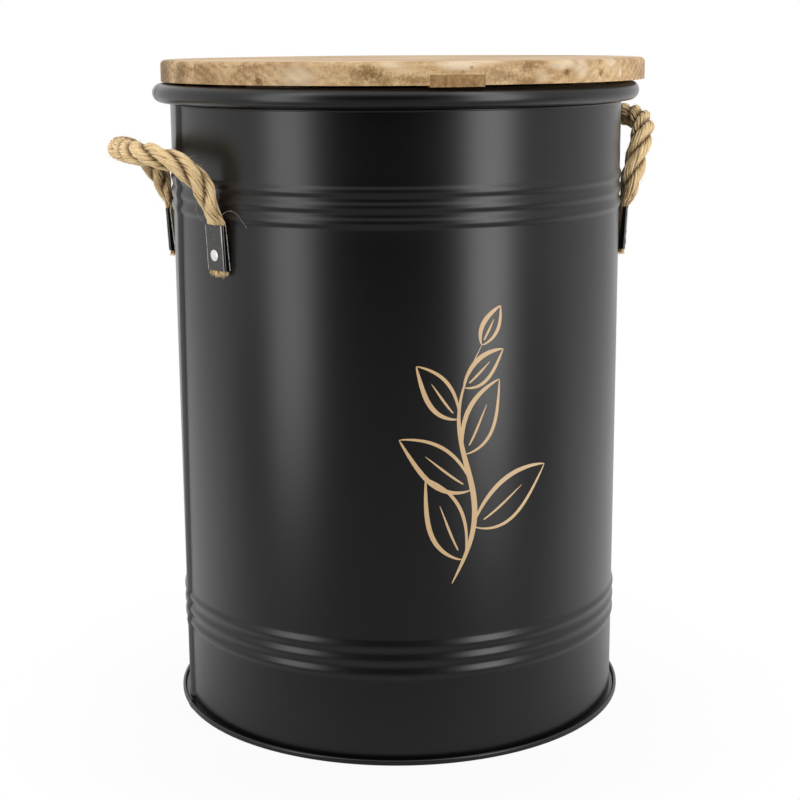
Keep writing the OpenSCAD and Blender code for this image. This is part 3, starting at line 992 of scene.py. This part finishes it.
# Painted shade: points that lie deeper in the rope, in the grooves between yarns and strands, turn
# dark brown.
shaded_in_grooves = depth.rise(0.92, 0.6).blend(lit, colour(108, 75, 38))
end_material(nodes, {
    "Base Color": depth.rise(1.5, 2).blend(shaded_in_grooves, colour(190, 186, 178)),
    "Roughness": 0.8 + 0.1 * fine,
    "Specular IOR Level": 0.25,
    "Sheen Weight": 0.15,
    "Sheen Roughness": 0.5,
    "Normal": (streaks + fine * 0.8).bump(0.8, 0.4 * MM),
})

for seed, (side, leans) in enumerate(LEANS.items()):
    points, faces, fibres = rope_mesh(leans, STRAYS[side], 11 + seed)
    rope = add_piece(side + "_rope", points.tolist(), faces, jute, 80)
    # The attribute carries the grain's course and each point's depth, which drives the painted
    # groove shade.
    marks = rope.data.attributes.new("fibre", "FLOAT_VECTOR", "POINT")
    marks.data.foreach_set("vector", fibres.astype(np.float32).ravel())
    if side == "left":
        rope.data.transform(Matrix.Rotation(pi, 4, "Z"))
    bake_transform(rope)
    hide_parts(side + "_rope_handle", side + "_front_rope_end", side + "_rear_rope_end")


# Lid staves. They are planed boards of a light, oiled hardwood, glued edge to edge, turned to a
# disc with a rounded upper edge and rubbed smooth, so that the grain shows all round the edge.

LID_MIDDLE = Vector((4.1, -1.6, 401.3)) * MM
LID_TURN = radians(-9.6)
LID_RADIUS = 152 * MM
RING_WIDTH = 4.2 * MM
PITH_DEPTH = 90 * MM
PITH_SHIFT = 20 * MM
RING_WARP = (12 * MM, 8 * MM)
MARK_DEPTH = 9 * MM
MARK_FADE = (1.35, 0.25)
# Each mark: its turn, height, half width, half height, tilt and strength, in degrees and
# millimetres. A strength below 0 makes it pale. The broad dark marks towards the lid's left end are
# partly darker wood and partly painted shade, as the light falls weaker on that end. The pale marks
# high on the front edge, by its rounded top, are partly paler wood and partly painted highlight.
FRONT_MARKS_AND_PAINTED_LIGHT = (
    (-53.1, 11.4, 0.9, 0.9, 0, 0.8), (-50, 7, 16, 16, 0, 0.24), (-40, 7, 12, 14, 0, 0.06),
    (-45.9, 11, 3.5, 0.9, 0, 0.45), (-41.3, 10, 3, 0.8, 10, 0.5), (-37.1, 10.6, 3.2, 0.8, -5, 0.4),
    (-33, 9.9, 3, 0.8, 0, 0.45), (-29.6, 11.3, 2.4, 0.7, 0, 0.4), (-32.1, 2, 4.2, 3.2, 0, 1),
    (-32.1, 2.5, 6, 4, 0, 0.35), (-6.3, 6.6, 13, 5, 18, 0.84), (-4, 3, 10, 3.5, 0, 0.6),
    (-9.5, 6.5, 7, 7, 0, 0.5), (2.5, 3, 14, 4, 0, 0.55), (14.3, 9.5, 1.3, 1.1, 0, 0.55),
    (12.3, 7.3, 1.4, 1.1, 0, 0.45), (27.1, 10.4, 5.5, 3.8, -20, 0.7), (25.7, 1.5, 7, 3, 0, 0.4),
    (20.7, 5, 11, 5, 0, 0.42), (37.4, 6.2, 1.9, 1.8, 0, 1), (37.4, 6.2, 3.2, 2.6, 0, 0.3),
    (48.5, 4.9, 3.4, 3, 0, 0.7), (48.5, 4.9, 1.1, 1, 0, 0.9), (49.1, 12.3, 1.6, 0.5, 0, 0.5),
    (63, 9, 0.8, 4.5, -12, 0.5), (-22.6, 5, 11, 6, 0, -0.38), (-2.3, 11, 8, 3, 0, -0.42),
    (11.8, 10.8, 13, 3.2, 0, -0.6), (17, 13.5, 16, 2.5, 0, -0.45), (36.8, 10.5, 10, 3.2, 0, -0.5),
    (42, 8, 6, 6, 0, -0.45), (52.5, 10.5, 7, 3, 0, -0.45), (56.7, 5.2, 2.4, 4, -10, -0.5),
    (31, 4, 5, 3, 0, -0.25),
)
SIDE_MARKS_AND_PAINTED_SHADE = (
    (-76, 6, 40, 40, 0, 0.9), (-60, 6, 13, 14, 0, 0.8), (-68.4, 4.5, 3, 3, 0, 1),
    (-57, 5.5, 0.8, 4, 20, -0.4), (-55.2, 4.5, 0.7, 3.5, 20, -0.3),
)


def lid_place(nodes):
    """The place on the lid in its own frame: x along the staves, z up from their underside."""
    return nodes.node("TexCoord", out="Object").within(LID_MIDDLE, (0, 0, LID_TURN))


def spot_shape(nodes, edge, turn, height, half_width, half_height, tilt):
    """1 in the middle of a spot on the lid's edge, and 0 outside it."""
    angle = CAMERA_TURN - pi / 2 + radians(turn)
    spot = LID_MIDDLE + Vector((LID_RADIUS * cos(angle), LID_RADIUS * sin(angle), height * MM))
    rotation = (0, radians(tilt), angle + pi / 2)
    reach = (half_width * MM, MARK_DEPTH, half_height * MM)
    near = nodes.node("TexCoord", out="Object").within(spot, rotation, reach)
    return (near.length() + edge).rise(*MARK_FADE)


def stave_material(name, shift, lightness, marks=()):
    """Wood with growth rings round a pith, blotches and pores, and marks on its edge. On the lid's
    staves, these marks carry painted shade and painted highlight as well as knots and streaks.
    """
    material, nodes = start_material(name)
    place = lid_place(nodes)
    moved = place.scaled((1, 1, 1), (shift * 0.31, shift * 0.17, shift * 0.05))
    warp = moved.scaled((6, 30, 30)).noise(1, 2)
    across = place.part("Y") + (warp - 0.5) * RING_WARP[0] + PITH_SHIFT * shift
    up = place.part("Z") + (warp - 0.5) * RING_WARP[1] + PITH_DEPTH
    from_pith = (across * across + up * up) ** 0.5
    rings = (from_pith * (2 * pi / RING_WIDTH) + warp * 9).wave() * 0.5 + 0.5
    blotch = moved.scaled((14, 34, 60)).noise(1, 3, 0.6, 0.6)
    streaks = moved.scaled((40, 420, 420)).noise(1, 3, 0.6)
    fleck = moved.scaled((170, 700, 700)).noise(1, 2, 0.5)
    mottle = moved.noise(620, 3, 0.6)
    pores = fleck.rise(0.66, 0.74)
    tone = blotch * 0.75 + streaks * 0.3 + rings * 0.08 + mottle * 0.45 - 0.32 + lightness
    wood = tone.ramp(
        (0.28, colour(146, 112, 72)), (0.42, colour(176, 142, 100)), (0.55, colour(199, 167, 124)),
        (0.68, colour(211, 182, 141)), (0.85, colour(225, 202, 166)),
    )
    edge = (blotch - 0.5) * 1.6 + (mottle - 0.5) * 1.8
    dark, pale = pores * 0.45, 0
    for *shape, strength in marks:
        mark = spot_shape(nodes, edge, *shape)
        if strength > 0:
            dark = dark.most(mark * strength)
        else:
            pale = (mark * -strength).most(pale)
    if pale:
        wood = pale.blend(wood, colour(236, 220, 192))
    end_material(nodes, {
        "Base Color": dark.blend(wood, colour(112, 82, 36)),
        "Roughness": 0.5 + 0.12 * streaks - 0.06 * rings,
        "Specular IOR Level": 0.25,
        "Normal": (streaks * 0.5 + rings * 0.2 - pores * 0.8).bump(0.35, 0.2 * MM),
    })
    return material


STAVES = ((0.0, FRONT_MARKS_AND_PAINTED_LIGHT), (0.02, SIDE_MARKS_AND_PAINTED_SHADE), (-0.03, ()), (0.02, ()))
for i, (lightness, marks) in enumerate(STAVES, 1):
    wood = stave_material("stave_wood_%d" % i, i, lightness, marks)
    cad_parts["lid_stave_%d" % i].material_slots[0].material = wood


# Batten, locating blocks and screws. The batten of darker wood is let into the lid's underside
# across the staves and screwed to each; four blocks screwed beside it keep the lid in the mouth.

batten_wood, nodes = start_material("batten_wood")
place = lid_place(nodes)
grain = place.scaled((420, 30, 420)).noise(1, 3, 0.6)
ends = place.scaled((260, 60, 260)).noise(1, 2)
tone = grain * 0.7 + ends * 0.4
end_material(nodes, {
    "Base Color": tone.ramp(
        (0.35, colour(96, 70, 40)), (0.52, colour(140, 108, 68)), (0.7, colour(168, 132, 86)),
    ),
    "Roughness": 0.6 + 0.1 * grain,
    "Specular IOR Level": 0.35,
    "Normal": grain.bump(0.4, 0.2 * MM),
})
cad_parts["lid_batten"].material_slots[0].material = batten_wood
for i in range(1, 5):
    wood = stave_material("block_wood_%d" % i, i + 5, 0.02)
    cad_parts["lid_block_%d" % i].material_slots[0].material = wood
for name in ("batten_screws", "block_screws"):
    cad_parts[name].material_slots[0].material = brushed_steel


# Studio. The bucket stands on a floor that the camera sees pale, between two upright softboxes,
# with a bright surround behind and above it and a dim one in front, which the black paint mirrors.
# Before the bucket the floor has a dark tone for all other rays. This is painted shade, which the
# paint mirrors too.

FLOOR_RADIUS = 1.6
STRIP_FOOT = 0.02
# Each softbox: its turn from the camera, distance, width, height and radiance.
STRIPS = {
    "right_softbox": (radians(42.5), 0.75, 0.26, 1.3, 4.6),
    "left_softbox": (radians(-49), 0.75, 0.26, 1.3, 3.3),
}
# How brightly the surround glows: beside the bucket, before it, what more behind it, and above.
BESIDE = 0.85
BEFORE = 0.015
MORE_BEHIND = 0.35
OVERHEAD = 1.1

floor_paint, nodes = start_material("pale_floor")
place = nodes.node("TexCoord", out="Object")
seen = nodes.node("LightPath", out="Is Camera Ray")
# Painted shade: the floor before the bucket gets a dark tone, which the black paint mirrors; the
# camera still sees it nearly white.
shaded_in_front = place.along(TOWARDS_CAMERA).rise(-0.1, 0.3)
tone = shaded_in_front.blend((0.97, 0.97, 0.97, 1), (0.3, 0.3, 0.3, 1))
matt = nodes.node("BsdfDiffuse", None, {"Color": tone})
white = nodes.node("Emission", None, {"Color": (1, 1, 1, 1), "Strength": 1.0})
share = seen * (0.92 + 0.08 * place.length().rise(0.16, 0.3))
mixed = nodes.node("MixShader", None, {0: share, 1: matt, 2: white})
nodes.node("OutputMaterial", None, {"Surface": mixed})

disc = bmesh.new()
bmesh.ops.create_circle(disc, cap_ends=True, segments=96, radius=FLOOR_RADIUS)
mesh = bpy.data.meshes.new("floor")
disc.to_mesh(mesh)
disc.free()
mesh.materials.append(floor_paint)
floor = bpy.data.objects.new("floor", mesh)
bpy.context.collection.objects.link(floor)

for name, (turn, away, width, height, radiance) in STRIPS.items():
    light = bpy.data.lights.new(name, "AREA")
    light.shape = "RECTANGLE"
    light.size = width
    light.size_y = height
    light.energy = radiance * pi * width * height
    strip = bpy.data.objects.new(name, light)
    way = TOWARDS_CAMERA * cos(turn) + RIGHT_OF_CAMERA * sin(turn)
    middle = way * away + Vector((0, 0, height / 2 + STRIP_FOOT))
    facing = way.to_track_quat("Z", "Y").to_matrix().to_4x4()
    strip.matrix_world = Matrix.Translation(middle) @ facing
    strip.visible_camera = False
    bpy.context.collection.objects.link(strip)

world = bpy.data.worlds.new("studio")
world.use_nodes = True
world.node_tree.nodes.clear()
bpy.context.scene.world = world
nodes = Shade(world.node_tree)
way = nodes.node("TexCoord", out="Generated")
level = nodes.node("VectorMath", {"operation": "NORMALIZE"}, {0: way.scaled((1, 1, 0))})
front = level.along(TOWARDS_CAMERA)
around = BESIDE + (BEFORE - BESIDE) * front.rise(0.0, 0.78) + MORE_BEHIND * front.rise(-0.78, -0.97)
high = way.part("Z").rise(0.5, 0.72)
glow = around + (OVERHEAD - around) * high
seen = nodes.node("LightPath", out="Is Camera Ray")
nodes.node("OutputWorld", None, {"Surface": nodes.node("Background", None, {
    "Color": (1, 1, 1, 1), "Strength": glow + (1 - glow) * seen})})

bpy.context.scene.view_settings.view_transform = "Standard"
bpy.context.view_layer.update()
